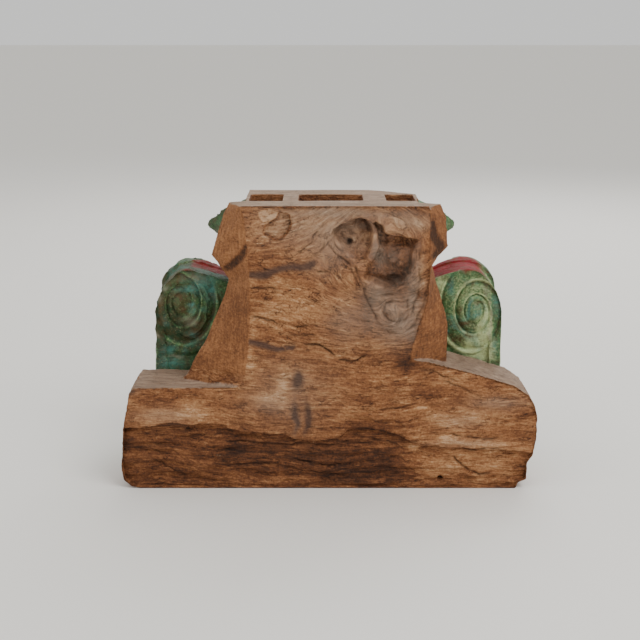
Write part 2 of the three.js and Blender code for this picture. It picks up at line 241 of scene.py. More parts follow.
def inside_depth(x, z, corners):
    """Distance to a closed line of corners, positive inside and negative outside. A point is inside when a
    ray along X crosses the line an odd number of times."""
    closed = corners + corners[:1]
    odd = np.zeros(len(x), bool)
    for (x0, z0), (x1, z1) in zip(closed[:-1], closed[1:]):
        spans = (z0 > z) != (z1 > z)
        crossing = x0 + (z - z0) * (x1 - x0) / (z1 - z0 if z1 != z0 else 1e-9)
        odd ^= spans & (x < crossing)
    return np.where(odd, 1, -1) * line_distance(x, z, closed)

# %% [markdown]
# ## The base of the surface
# The solid that comes with the part has flat facets. We merge a copy of it, turn it into an even skin of
# small squares with a voxel remesh, and relax that skin a little so that facet lines go and edges look hand
# worn. A grid for each face would leave gaps where the scrolls, the head and the log run into each other,
# and one block of wood has no gaps, so the skin over the whole block is the better way here.

# %% Base skin
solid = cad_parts["carved_capital"]


def finished_mesh(thing):
    """The mesh that an object's modifiers give, as new mesh data."""
    graph = bpy.context.evaluated_depsgraph_get()
    return bpy.data.meshes.new_from_object(thing.evaluated_get(graph), depsgraph=graph)


def read_points(mesh, field):
    """One vector per vertex, its place (co) or its normal, as a numpy array with three columns."""
    values = np.empty(len(mesh.vertices) * 3)
    mesh.vertices.foreach_get(field, values)
    return values.reshape(-1, 3)


def base_skin(voxel, rounds):
    """A merged copy of the solid, remeshed at the voxel size and relaxed."""
    work = bmesh.new()
    work.from_mesh(solid.data)
    bmesh.ops.remove_doubles(work, verts=work.verts, dist=1e-6)
    mesh = bpy.data.meshes.new("base")
    work.to_mesh(mesh)
    work.free()
    thing = bpy.data.objects.new("base", mesh)
    bpy.context.collection.objects.link(thing)
    remesh = thing.modifiers.new("even skin", "REMESH")
    remesh.mode = "VOXEL"
    remesh.voxel_size = voxel
    relax = thing.modifiers.new("worn edges", "SMOOTH")
    relax.factor = 0.5
    relax.iterations = rounds
    skin = finished_mesh(thing)
    bpy.data.objects.remove(thing)
    return skin


skin = base_skin(voxel=1.5 * MM, rounds=3)
points = read_points(skin, "co") / MM
normals = read_points(skin, "normal")
print("base skin", len(points), "points")

# %% [markdown]
# ## Zones
# Each part of the block had another tool on it: the back was split and hewn, the sides of the body were
# sawn, the top was planed, and the front was carved and painted. A zone is a number from 0 to 1 for every
# point.

# %% Zones
def zones(p, n):
    """Soft masks from place and normal: back, arm tops, sawn sides, mortises, rim, front, log ends, knot."""
    x, y, z = p.T
    knot = np.maximum(inside_depth(x, z, KNOT_LEFT), inside_depth(x, z, KNOT_RIGHT))
    knot = np.where(y < BACK + 34, ramp(knot, -9, -5), 0)
    past_left = ramp(np.interp(z, *np.array(LEFT_EDGE).T) - x, -1, 1)
    past_right = ramp(x - np.interp(z, *np.array(RIGHT_EDGE).T), -1, 1)
    past_edge = np.maximum(past_left * ramp(z, 146, 152), past_right * ramp(z, 163, 169))
    back = ramp(-n[:, 1], 0.45, 0.8) * ramp(-y, 80, 90) * (1 - past_edge)
    back = np.maximum(back, knot)
    arm_top = ramp(n[:, 2], 0.35, 0.75) * ramp(-y, 12, 16) * ramp(z, 95, 105) * ramp(200 - z, 0, 12)
    arm_top = arm_top * ramp(np.abs(x), 92, 104) * (1 - back)
    sides = past_edge * (y < LOG_FRONT - 2) * (1 - arm_top)
    in_mortise = ramp(y, MORTISE_Y[0] - 2, MORTISE_Y[0]) * ramp(-y, -MORTISE_Y[1] - 2, -MORTISE_Y[1])
    in_mortise = in_mortise * (np.abs(x - HEAD_SHIFT) < 105) * (z > MORTISE_FLOOR - 3)
    in_mortise = in_mortise * ramp(TOP - z, 0.8, 2.5)
    rim = ramp(n[:, 2], 0.6, 0.85) * ramp(z, 350, 354)
    at_mortise = (np.abs(x - HEAD_SHIFT) < 104) & (y < MORTISE_Y[1] + 2.5) & (z > MORTISE_FLOOR - 5)
    front = ramp(y, LOG_FRONT - 1, LOG_FRONT + 3) * (1 - at_mortise) * (1 - rim) * ramp(z, 1, 4)
    head_side = ramp(y, -38, -34) * ramp(z, 272, 276) * ramp(np.abs(x - HEAD_SHIFT), 103.5, 106)
    front = np.maximum(front, head_side * (1 - at_mortise) * (1 - rim))
    log_end = ramp(np.abs(n[:, 0]), 0.5, 0.8) * ramp(np.abs(x), 225, 240) * (y < LOG_FRONT)
    return {"back": back, "arm_top": arm_top, "sides": sides * (1 - rim) * (1 - front), "mortise": in_mortise,
            "rim": rim, "front": front, "log_end": log_end, "knot": knot}


def grain_place(p):
    """Place along, through and across the grain, in mm. Far from the knot the grain runs along X. Near it the
    fibres part like water round a stone: across = dz * (1 - r0 squared / r squared), for the knot and the burl
    under it."""
    x, y, z = p.T
    across = z.copy()
    for cx, cz, r0 in ((*KNOT, 52.0), (BURL[0], BURL[1] - 2, 13.0)):
        squared = (x - cx) ** 2 + (z - cz) ** 2
        pull = r0**2 / np.maximum(squared, (0.9 * r0) ** 2)
        across = across - (z - cz) * pull * ramp(-y, 70, 95)
    along = x + 6 * noise(p, (70, 70, 50), 5)
    across = across + 7.5 * noise(p, (70, 60, 42), 6) + 1.8 * noise(p, (24, 40, 16), 7)
    near_knot = spot(x, z, *KNOT, 60, 44) + spot(x, z, *BURL, 44, 44)
    across = across + 9.0 * noise(p, (15, 60, 13), 4) * near_knot
    return np.stack([along, y, across], axis=1)


zone = zones(points, normals)
grain = grain_place(points)
print({name: round(float(mask.mean()), 3) for name, mask in zone.items()})

# %% [markdown]
# ## Carving on the scrolls
# On the block, each scroll's flat faces carry a band that curls in to a domed eye. A curl whose turns keep
# the same proportion is a logarithmic spiral: the radius grows by one factor with every turn. So a point's
# place across the band is the logarithm of its radius less its share of a turn, and its height is a
# function of that.

# %% Scroll faces
TURN_GROWTH = 1.75
DOME = 10.7
SPIRAL_EYES = {-1: (191.0, 219.0), 1: (191.0, 209.0)}


def scroll_profile(x, z):
    """How deep the carved face lies under the scroll's flat rim, in mm, the radius from the spiral's eye, and
    the place across the band. Inside the dome's radius it is a low dome. Outside, the place is log(radius /
    dome) / log(growth) plus the turn, and the band is half a sine wave with a thin lip at its inner edge."""
    dx = np.abs(x) - np.where(x > 0, SPIRAL_EYES[1][0], SPIRAL_EYES[-1][0])
    dz = (z - np.where(x > 0, SPIRAL_EYES[1][1], SPIRAL_EYES[-1][1])) / EYE_OVAL
    radius = np.hypot(dx, dz) + 1e-6
    turn = (np.arctan2(dz, dx) / (2 * np.pi)) % 1.0
    place = (np.log(radius / DOME) / np.log(TURN_GROWTH) + turn) % 1.0
    band = np.sin(np.pi * place) ** 0.7
    lip = np.exp(-(((place - 0.14) / 0.07) ** 2))
    depth = 5.6 - 4.4 * band - 1.9 * lip
    dome_height = np.sqrt(np.clip(1 - (radius / DOME) ** 2, 0, 1))
    inside = ramp(DOME + 1.5 - radius, 0, 2.5)
    depth = depth * (1 - inside) + (5.0 - 4.6 * dome_height) * inside
    return depth, radius, place


def carve_scrolls(p, n):
    """Moves points on the scrolls' two faces to the carved height, along Y only."""
    x, y, z = p.T.copy()
    depth = scroll_profile(x, z)[0] + 0.7 * noise(p, (9, 9, 9), 58)
    inside = ramp(44.5 - np.hypot(np.abs(x) - EYE_X, (z - EYE_Z) / EYE_OVAL), 0, 4)
    upper = (z > 150) & (np.abs(x) > SCROLL_INNER + 4)
    near = (np.abs(y - SCROLL_NEAR - 3) < 6.5) & (n[:, 1] < 0.35) & upper
    far = (np.abs(y - SCROLL_FAR + 3) < 6.5) & (n[:, 1] > -0.35) & upper
    y = np.where(near, y * (1 - inside) + (SCROLL_NEAR + 0.6 + depth) * inside, y)
    y = np.where(far, y * (1 - inside) + (SCROLL_FAR - 0.6 - depth) * inside, y)
    return np.stack([x, y, z], axis=1)


points = carve_scrolls(points, normals)

# %% [markdown]
# ## Relief of the wood
# The depth of every mark is added up as one number per point, and each point then moves inwards by it. All
# marks go inwards, so the piece never grows past the solid. The fibres are noise stretched along the grain,
# and the splintered layers are noise cut into steps, since wood splits off in sheets with sharp lower
# edges.

# %% Relief of the timber
def steps(value, count, sharp=0.8):
    """Rounds a smooth value to a few levels with short slopes between, like sheets of split wood."""
    scaled = value * count
    whole = np.floor(scaled)
    return (whole + ramp(scaled - whole, sharp, 1.0)) / count


def knot_depth(x, z, p):
    """Depth of the knot's two hollows. Under the upper rims the wall is steep, and towards the lower left it
    rises slowly, with a ridge left between the hollows and a deep lip at the bottom."""
    left = inside_depth(x, z, KNOT_LEFT)
    right = inside_depth(x, z, KNOT_RIGHT)
    left_wall = 3.5 + 13 * ramp(332 - z, 0, 34) * ramp(50 - x, 0, 24)
    rough = 2.2 * noise(p, (11, 60, 10), 44) + 1.2 * noise(p, (5, 60, 5), 45)
    left_floor = 17 - 8 * ramp(318 - z, 0, 26) + rough
    middle = spot(x, z, 78, 294, 20, 12)
    right_floor = 14 + 4 * ramp(z, 306, 318) + 6 * ramp(276 - z, 0, 10) - 6 * middle + rough
    crack = 5 * np.exp(-((line_distance(x, z, [(44, 342), (50, 334), (53, 322)]) / 3) ** 2))
    hollows = np.maximum(left_floor * ramp(left, 0, left_wall), right_floor * ramp(right, 0, 4.5))
    return hollows + crack * ramp(np.maximum(left, right), -1, 2)


def wander(p):
    """X and Z moved by up to 3 mm of noise, so that a drawn line or edge is never straight."""
    x = p[:, 0] + 2.8 * noise(p, (11, 60, 9), 21)
    z = p[:, 2] + 2.8 * noise(p, (12, 60, 10), 22) + 0.8 * noise(p, (5, 60, 5), 24)
    return x, z


def crack_depth(x, z, p):
    """Depth of the drawn cracks, in mm. A crack fades over 10 mm at both ends, and its width and depth change
    along it."""
    total = np.zeros(len(x))
    for k, (deep, line) in enumerate(CRACKS):
        uneven = noise(p, (10, 60, 10), 90 + k)
        to_start = np.hypot(x - line[0][0], z - line[0][1])
        to_end = np.minimum(to_start, np.hypot(x - line[-1][0], z - line[-1][1]))
        width = 1.15 + 0.4 * uneven
        strength = deep * ramp(to_end, 0, 10) * ramp(uneven, -0.8, 0.2)
        total = np.maximum(total, strength * np.exp(-((line_distance(x, z, line) / width) ** 2)))
    return total


def timber_depth(p, zone, grain):
    """Depth in mm taken off the rough timber at each point."""
    x, y, z = p.T
    back = zone["back"]
    ledge_line = np.interp(x, *np.array(LEDGE).T) + noise(p, (9, 40, 400), 8) * 1.6
    below = ramp(ledge_line - z, -0.2, 1.1) * back
    fibre = layered(grain, (70, 30, 5.5), 11)
    ridges = 1 - np.abs(layered(grain, (60, 40, 8), 12, 2))
    sheets = steps(0.5 + 0.5 * layered(grain, (90, 60, 14), 13, 2), 6)
    slivers = steps(0.5 + 0.5 * layered(grain, (26, 30, 5), 15, 2), 4)
    lumps = noise(p, (9, 30, 7), 18) + 0.7 * noise(p, (18, 40, 14), 19) + 0.5 * noise(p, (4.5, 20, 4), 20)
    depth = back * (1.6 + 1.0 * noise(p, (60, 60, 45), 14) + 0.5 * fibre + 2.0 * slivers + 0.7 * lumps)
    low = ramp(z, 1, 12)
    depth += below * (3.4 + 1.3 * fibre + (5.0 * sheets + 1.6 * slivers) * low + 1.4 * ridges - 1.6)
    cx, cz = wander(p)
    second = np.interp(cx, *np.array(SECOND_LEDGE).T)
    depth += back * 2.4 * ramp(second - cz, 0, 2) * ramp(cx, 18, 24) * ramp(100 - cx, 0, 10) * (1 - below)
    depth += back * crack_depth(cx, cz, p)
    right = ramp(x, 112, 150) * back
    depth += right * (3.0 * sheets + 0.6 * fibre) * (1 - below)
    chips = np.maximum(inside_depth(cx, cz, CHIPS[0]), inside_depth(cx, cz, CHIPS[1]))
    flakes = ramp(inside_depth(cx, cz, FLAKE), -0.5, 1.2) * (1 - 0.9 * ramp(chips, -0.8, 0.6))
    depth += back * flakes * (3.6 + 4.2 * steps(0.5 + 0.5 * layered(p, (17, 30, 10), 31, 2), 4))
    burl = np.clip(spot(x, z, *BURL, 40, 44) + spot(x, z, *KNOT, 62, 46), 0, 1)
    swirl = np.sin(grain[:, 2] * 0.9 + 2.4 * noise(p, (16, 30, 16), 41))
    rough = 1.9 * noise(p, (11, 20, 10), 42) + 1.1 * noise(p, (5, 20, 5), 46)
    depth += back * burl * (1.4 + 0.3 * swirl + rough)
    nose = spot(x, z, 80, 232, 13, 17)
    depth += back * 2.2 * spot(x, z, *BURL, 34, 36) * (1 - nose)
    ragged = spot(cx, z, 106, 262, 7, 54)
    depth += back * ragged * (3.0 + 3.4 * noise(p, (6, 20, 8), 43))
    depth += back * knot_depth(cx * 0.6 + x * 0.4, cz * 0.6 + z * 0.4, p)
    for hole_x, hole_z, radius, _, deep in SMALL_HOLES:
        depth += back * deep * np.exp(-((np.hypot(x - hole_x, z - hole_z) / radius) ** 4))
    for mark in DARK_MARKS:
        depth += back * 1.8 * np.clip(spot(cx, cz, *mark) * 1.6, 0, 1)
    arm = zone["arm_top"]
    depth += arm * (1.2 + 0.9 * layered(grain, (90, 9, 30), 51) + 1.6 * (slivers + sheets - 1) + 0.5 * lumps)
    depth += zone["log_end"] * (0.4 + 0.7 * layered(p, (30, 9, 6), 53))
    depth += zone["sides"] * (0.5 + 0.5 * noise(p, (40, 30, 14), 54) + 0.3 * noise(p, (12, 9, 12), 55))
    # A shallow groove along each notch; the shadow in it is painted in the colours.
    for wide, line in NOTCH_CUTS_AND_SHADOWS:
        depth += zone["sides"] * 1.6 * np.exp(-((line_distance(x, z, line) / wide) ** 4))
    edge_nicks = ramp(noise(p, (14, 200, 200), 57), 0.1, 0.6) * ramp(z, 353, 359) * ramp(-y, 88, 98)
    depth += zone["rim"] * (0.4 + 0.4 * noise(p, (40, 12, 30), 56)) + 2.2 * edge_nicks * (1 - back)
    return np.clip(depth, 0, None)


def paint_depth(p, zone):
    """Depth in mm taken off the carved front: soft tool marks, small chips where gesso and paint fell, and the
    lumps of the left scroll, which is damaged."""
    chips = ramp(noise(p, (9, 9, 8), 61) + 0.5 * noise(p, (4, 4, 4), 62), 0.55, 0.75)
    marks = 0.5 + 0.5 * layered(p, (16, 16, 12), 63, 2)
    left_scroll = (p[:, 0] < -SCROLL_INNER) * ramp(p[:, 2], 135, 150)
    lumps = 0.5 + 0.55 * noise(p, (13, 15, 11), 64) + 0.35 * noise(p, (6, 6, 6), 65)
    return zone["front"] * (0.55 * marks + 0.6 * chips + 3.0 * left_scroll * np.clip(lumps, 0, 1))


depth = timber_depth(points, zone, grain) + paint_depth(points, zone)
straight = np.clip(zone["back"] * 1.6, 0, 1)[:, None]
inward = normals * (1 - straight) + np.array([0.0, -1.0, 0.0]) * straight
moved = points - inward * depth[:, None]
knot = zone["knot"]
moved[:, 1] = moved[:, 1] * (1 - knot) + (BACK + depth) * knot
points = moved
print("relief up to", round(float(depth.max()), 2), "mm")

# %% [markdown]
# ## One piece under the triangle limit
# The even skin has more triangles than the surface needs. Decimate keeps them where the surface bends and
# saves them on the flat underside. It can move a point a little past the solid's box, so we hold all points
# inside that box before and after.

# %% Thin out
TRIANGLE_LIMIT = 194000
low = np.array(cad_box[0]) / MM
high = np.array(cad_box[1]) / MM
points = np.clip(points, low, high)
skin.vertices.foreach_set("co", (points * MM).ravel())
along = skin.attributes.new("grain", "FLOAT_VECTOR", "POINT")
along.data.foreach_set("vector", (grain * MM).astype(np.float32).ravel())
skin.update()
dense = bpy.data.objects.new("dense", skin)
bpy.context.collection.objects.link(dense)
triangles = sum(len(face.vertices) - 2 for face in skin.polygons)
thin = dense.modifiers.new("thin out", "DECIMATE")
thin.ratio = TRIANGLE_LIMIT / triangles
capital_mesh = finished_mesh(dense)
bpy.data.objects.remove(dense)
capital_mesh.name = "carved_capital_surface"
final_points = np.clip(read_points(capital_mesh, "co") / MM, low, high)
capital_mesh.vertices.foreach_set("co", (final_points * MM).ravel())
capital_mesh.update()
capital_mesh.shade_smooth()
capital = bpy.data.objects.new("carved_capital_surface", capital_mesh)
bpy.context.collection.objects.link(capital)
capital.data.materials.clear()
print("skin", triangles, "triangles, kept", len(capital_mesh.polygons))

# %% [markdown]
# ## Where the colours lie
# The colours follow how the block lived: the split wood below the ledge is darker, soot and damp made the
# bottom nearly black in the middle, the upper faces went grey and are painted lighter as a sheen of the sky,
# and the sawn sides kept a warm caramel. Painted shade lies in the cracks, holes and mortises, under the
# ledge, round the raised chips and in the notches. The marks are soft spots and lines, kept as numbers on the
# surface that the finish reads.

# %% Colour zones
# Lighter (+) and darker (-) spots on the back: middle in X and Z, two radii, and how much.
TONES = [
    # The log below the ledge: nearly black in the middle, pale split wood to the right.
    (60, 24, 85, 20, -0.2), (25, 14, 60, 12, -0.12), (-112, 47, 34, 11, -0.25), (-145, 46, 22, 9, -0.2),
    (-50, 38, 45, 9, -0.12), (-10, 48, 60, 8, -0.1), (155, 33, 32, 18, 0.55), (215, 32, 34, 26, 0.5),
    (120, 22, 18, 20, 0.35), (-75, 9, 60, 4, 0.35), (106, 53, 11, 4, 0.8), (-222, 22, 34, 20, 0.12),
    (180, 60, 34, 4, 0.6), (147, 66, 14, 6, 0.3), (55, 82, 36, 8, -0.5),
    # The log above the ledge, and the arms' faces.
    (-180, 76, 40, 5, 0.15), (-238, 66, 16, 9, 0.1), (-205, 98, 45, 13, 0.25), (-157, 100, 26, 13, 0.3),
    (165, 88, 30, 9, 0.35), (126, 128, 30, 9, -0.3), (97, 108, 10, 3, -0.5), (115, 106, 9, 2.4, 0.7),
    (130, 100, 90, 30, 0.06), (60, 105, 30, 7, 0.1), (-215, 112, 40, 7, -0.1), (175, 95, 60, 20, 0.1),
    # The foot of the body.
    (-56, 135, 9, 22, 0.65), (-74, 120, 16, 9, 0.5), (-98, 162, 9, 16, 0.35), (0, 120, 22, 12, 0.25),
    (95, 166, 16, 9, -0.55), (104, 190, 8, 16, -0.45), (84, 182, 8, 10, -0.2), (-23, 160, 30, 14, 0.15),
    # The middle of the body.
    (-45, 238, 45, 24, 0.35), (20, 250, 22, 24, 0.25), (-60, 262, 30, 9, 0.2), (48, 222, 9, 22, -0.3),
    (5, 215, 16, 18, -0.2), (-20, 222, 22, 16, 0.15), (45, 190, 40, 10, 0.25), (-95, 205, 6, 40, 0.2),
    # The knot and the burl under it.
    (30, 315, 22, 15, -0.08), (45, 336, 9, 7, -0.75), (84, 268, 13, 7, -0.85), (70, 296, 16, 26, -0.45),
    (76, 230, 36, 36, -0.22), (54, 243, 6, 7, -0.5), (90, 308, 12, 6, -0.1), (98, 285, 5, 22, -0.5),
    (60, 300, 5, 22, -0.35), (44, 340, 4, 3, 0.5), (112, 262, 3, 30, 0.5), (108, 222, 3, 22, 0.4),
    # The top of the body.
    (-40, 338, 64, 26, 0.42), (0, 318, 40, 24, 0.15), (95, 340, 26, 8, 0.3), (-66, 348, 12, 7, 0.1),
    (-79, 319, 7, 6, 0.1), (-50, 318, 12, 5, -0.3), (86, 351, 26, 2.5, -0.3),
]
# Where the back went grey, in the same way.
GREYS = [
    (-40, 336, 58, 22, 0.4), (-10, 318, 60, 26, 0.2), (-50, 128, 50, 42, 0.3), (30, 312, 22, 18, 0.35),
    (76, 296, 22, 24, 0.3), (20, 352, 70, 7, 0.7), (95, 340, 30, 12, 0.6), (75, 232, 34, 34, 0.75),
    (92, 206, 20, 18, 0.5), (25, 335, 30, 9, 0.5), (0, 300, 26, 34, 0.35), (106, 260, 8, 46, 0.7),
    (55, 255, 14, 12, 0.5), (20, 218, 26, 26, 0.4), (-205, 96, 40, 12, 0.35), (170, 60, 40, 5, 0.4),
    (165, 88, 26, 10, 0.35), (-75, 110, 26, 12, 0.3), (60, 310, 6, 26, 0.5), (215, 112, 40, 9, 0.45),
    (-40, 94, 3, 17, 0.5), (-250, 132, 14, 9, 0.3), (-37, 142, 6, 12, 0.4),
]
# Marks in the paint of the scrolls' camera-side faces, in the same way, under the mark's kind.
PAINT_MARKS = {
    "brown": [
        (-189, 218, 9, 16, 0.9), (-218, 214, 5, 24, 0.6), (-169, 185, 10, 16, 0.6), (-205, 258, 18, 12, 0.8),
        (-200, 232, 12, 6, 0.5), (178, 192, 14, 6, 0.9), (194, 220, 5, 4, 0.8), (171, 212, 4, 9, 0.5),
        (185, 177, 16, 3, 0.7), (166, 169, 9, 8, 0.8), (183, 246, 14, 4, 0.5), (208, 252, 8, 14, 0.6),
    ],
    "teal": [
        (-178, 218, 4, 3, 0.9), (-209, 158, 9, 8, 0.8), (-187, 238, 12, 6, 0.5), (-159, 245, 14, 16, 0.6),
        (-150, 234, 5, 10, 0.9), (-207, 138, 16, 8, 0.7), (184, 216, 2.5, 12, 0.9), (193, 205, 5, 4, 0.7),
        (160, 241, 4, 11, 0.8), (155, 181, 3, 4, 0.9), (217, 165, 4, 14, 0.6),
    ],
    "pale": [
        (-179, 196, 8, 6, 0.7), (-172, 254, 14, 5, 0.5), (-222, 178, 2.5, 3, 0.9), (-218, 225, 3, 5, 0.5),
        (-200, 147, 14, 1.6, 0.6), (-212, 240, 6, 3, 0.6), (211, 190, 1.4, 40, 0.8), (205, 234, 3, 7, 0.5),
    ],
    "light": [
        (-199, 190, 9, 16, -0.2), (-180, 176, 12, 14, -0.25), (196, 163, 20, 18, 1.2), (206, 186, 8, 24, 0.9),
        (144, 245, 6, 12, 0.5),
    ],
}


def paint_marks(p, kind):
    """The strength of one kind of paint mark on the scrolls' camera-side halves."""
    x, z = wander(p)
    total = np.zeros(len(p))
    for cx, cz, rx, rz, amount in PAINT_MARKS[kind]:
        total = total + amount * spot(x, z, cx, cz, rx, rz)
    return total * ramp(-p[:, 1], -40, -20) * (np.abs(p[:, 0]) > SCROLL_INNER)


def colour_zones(p, n):
    """Three sets of four numbers per point. First: tone from -1 to 1 (as 0 to 1), grey with a painted sky
    sheen on upward faces, painted shade in cracks and holes, sawn wood. Second: how much paint, how light it
    is, how red,
    and stain. Third: teal, brown, pale marks, and knot."""
    x, y, z = p.T
    zone = zones(p, n)
    back = zone["back"]
    bx, bz = x + noise(p, (24, 24, 12), 72) * 4, z + noise(p, (16, 16, 9), 71) * 3
    cx, cz = wander(p)
    ledge_line = np.interp(x, *np.array(LEDGE).T) + noise(p, (9, 40, 400), 8) * 1.6
    below = ramp(ledge_line - z, -1, 1.5)
    tone = 0.14 - 0.34 * below * (0.6 + 0.4 * ramp(120 - x, 0, 60))
    for tx, tz, rx, rz, amount in TONES:
        tone = tone + amount * spot(bx, bz, tx, tz, rx, rz)
    # A painted shadow just under the ledge, where the upper layer of wood overhangs.
    edge = np.exp(-(((ledge_line - z - 1.0) / 1.2) ** 2))
    tone = tone - 0.4 * edge * ramp(noise(p, (13, 60, 60), 73), -0.5, 0.4)
    stain = np.zeros(len(x))
    for width, line in STREAKS:
        stain = np.maximum(stain, np.exp(-((line_distance(bx, bz, line) / width) ** 4)))
    for mark in DARK_MARKS:
        stain = np.maximum(stain, np.clip(spot(bx, bz, *mark) * 1.5, 0, 1))
    grey_and_sheen = np.zeros(len(x))
    for gx, gz, rx, rz, amount in GREYS:
        grey_and_sheen = grey_and_sheen + amount * spot(bx, bz, gx, gz, rx, rz)
    # The cracks are painted darker by their depth, as the shade that falls in them.
    crack = np.clip(crack_depth(cx, cz, p) / 2.6, 0, 1)
    holes = sum(np.exp(-((np.hypot(x - hx, z - hz) / dark) ** 4)) for hx, hz, _, dark, _ in SMALL_HOLES)
    tone = back * tone + (1 - back) * 0.05
    # Upward faces, the arm tops and the rim, are greyer and lighter: weathering, and a painted sheen of the
    # sky.
    grey_and_sheen = np.clip(back * grey_and_sheen + zone["arm_top"] + zone["rim"], 0, 1)
    # The mortises are painted a little darker, as the shade in them.
    tone = tone + zone["rim"] * 0.6 + zone["arm_top"] * 0.15 - 0.05 * zone["mortise"]
    # Painted shade in the small holes.
    tone = tone - back * 1.2 * holes
    # Raised chips are lighter, and a painted shadow runs just outside their outline.
    chips = np.maximum(inside_depth(cx, cz, CHIPS[0]), inside_depth(cx, cz, CHIPS[1]))
    chip_shadow = np.exp(-(((chips + 0.9) / 0.9) ** 2))
    tone = tone + back * (0.22 * ramp(chips, -0.2, 0.6) - 0.5 * chip_shadow)
    # The shadow that each notch casts on the sawn side, painted.
    notch_shadow = np.zeros(len(x))
    for wide, line in NOTCH_CUTS_AND_SHADOWS:
        notch_shadow = np.maximum(notch_shadow, np.exp(-((line_distance(x, z, line) / wide) ** 4)))
    # The left sawn side is painted lighter and the right one darker, against the key light from the right; the
    # left one is darker below 300 mm.
    side_tone = 0.12 - 0.16 * np.tanh(x / 60) - 0.22 * (x < 0) * ramp(300 - z, 0, 20) - 0.9 * notch_shadow
    tone = tone + zone["sides"] * (side_tone + 0.12 * noise(p, (22, 22, 26), 74))
    crack_and_hole_shade = np.clip(back * (crack + holes), 0, 1)
    paint, light, red = paint_zones(p, n, zone)
    light = np.clip(light + paint_marks(p, "light"), 0, 1)
    teal, brown, pale = (np.clip(paint_marks(p, kind), 0, 1) for kind in ("teal", "brown", "pale"))
    first = np.stack([tone * 0.5 + 0.5, grey_and_sheen, crack_and_hole_shade, zone["sides"]], axis=1)
    second = np.stack([paint, light, red, stain * back], axis=1)
    third = np.stack([teal, brown, pale, zone["knot"]], axis=1)
    return first, second, third


def bell_front(z):
    """Y of the bell's front surface at height z, from the solid's own profile."""
    return np.interp(z, [PLINTH_TOP, 150, 192, 235, 263], [87, 80.5, 70, 63.6, 61])


def paint_zones(p, n, zone):
    """Paint cover, lightness and red on the carved front, in bands that follow the carving."""
    x, y, z = p.T
    cover = zone["front"] * (0.9 + 0.2 * noise(p, (30, 30, 24), 81))
    # The paint is painted lighter towards the right, where the light falls, and darker towards the left.
    light = 0.34 + 0.25 * noise(p, (36, 36, 30), 82) + 0.1 * np.tanh(x / 60)
    red = np.zeros(len(x))
    depth, radius, place = scroll_profile(x, z)
    from_middle = np.hypot(np.abs(x) - EYE_X, (z - EYE_Z) / EYE_OVAL)
    on_scroll = (np.abs(x) > SCROLL_INNER) & (z < 270) & (z > PLINTH_TOP) & (y > SCROLL_NEAR - 3)
    face = on_scroll & (np.abs(n[:, 1]) > 0.45)
    curl = ramp(44 - from_middle, 0, 3) * face
    lip = np.exp(-(((place - 0.14) / 0.08) ** 2)) * (radius > DOME) * ramp(radius, 12, 20)
    # On the scroll faces a light line lies on the lip, painted brighter on the right where the light falls,
    # and the deepest parts of the carving are painted darker as shade.
    light = light + curl * ((0.5 + 0.12 * np.tanh(x / 60)) * lip - 0.25 * (depth > 4.2))
    border = face * ramp(np.abs(x), 212, 214)
    # The outer border of the faces is darker, and the right scroll is painted lighter as the side the light
    # falls on.
    light = light - 0.3 * border + 0.1 * on_scroll * (x > 0)
    crown = on_scroll & ((np.abs(n[:, 1]) <= 0.45) | ((y > -4) & (y < 84))) & (from_middle > 36)
    ragged_y = y + 2.5 * noise(p, (14, 30, 14), 84)
    stripe = ramp(ragged_y, -6, -4) * ramp(-ragged_y, -82, -78)
    share = np.where(x > 0, ramp(212 - x, 0, 14), 0.9 * ramp(x, -186, -176) * ramp(ragged_y, 30, 36))
    red = red + crown * stripe * ramp(z, 205, 235) * share
    edge = np.exp(-(((y + 9) / 4.0) ** 2)) + 0.3 * np.exp(-(((y - 86) / 4.0) ** 2))
    light = light + crown * edge * 0.3
    bulge = y - bell_front(z)
    on_bell = (np.abs(x) < 150) & (z > 128) & (z < 262) & (y > 55)
    lobes = on_bell * ramp(bulge, 0.8, 2.2) * (np.abs(x) < 98)
    scroll_face = ramp(bulge, 0.8, 2.2) * (np.abs(x) > SCROLL_INNER)
    red = red + on_bell * (1 - np.maximum(lobes, scroll_face)) * 0.9
    light = light + lobes * 0.45
    bead = ramp(z, 262, 264) * ramp(-z, -274, -272) * (y > LOG_FRONT + 2)
    red = red + bead * 0.9
    from_rosette = np.hypot(x - HEAD_SHIFT, z - ROSETTE_Z)
    red = np.where((from_rosette < 31) & (y > 66), ramp(from_rosette, 8, 11), red)
    plinth = (z < PLINTH_TOP) & (y > LOG_FRONT + 1)
    red = red + plinth * ramp(z, 66, 70) * ramp(-z, -101, -97) * 0.9
    light = light + plinth * ramp(z, 102, 106) * 0.5
    return np.clip(cover, 0, 1), np.clip(light, 0, 1), np.clip(red, 0, 1)


maps = colour_zones(final_points, read_points(capital_mesh, "normal"))
for name, values in zip(("wood_map", "paint_map", "marks_map"), maps):
    layer = capital_mesh.attributes.new(name, "FLOAT_COLOR", "POINT")
    layer.data.foreach_set("color", np.ascontiguousarray(values, dtype=np.float32).ravel())
print("colour numbers on", len(final_points), "points")

# %% [markdown]
# ## The finish
# The bare wood is an old open-grained hardwood, split and hewn, never varnished: matt, brown, with dark
# fibres and pale worn ridges. The paint is a thin old oil paint over gesso, glossier than the wood, and it
# has flaked where it was knocked. One node tree mixes both, because the paint thins out into the wood
# without a line between two materials. We build it a few nodes at a time, and every pattern has its size in
# millimetres.

# %% Finish helpers
material = bpy.data.materials.new("old hewn hardwood with flaked oil paint")
material.use_nodes = True
tree = material.node_tree
tree.nodes.clear()

PLUS = {"operation": "ADD"}
PLUS_HELD = {"operation": "ADD", "use_clamp": True}
MINUS = {"operation": "SUBTRACT"}
MINUS_HELD = {"operation": "SUBTRACT", "use_clamp": True}
TIMES = {"operation": "MULTIPLY"}
COLOUR = {"data_type": "RGBA"}


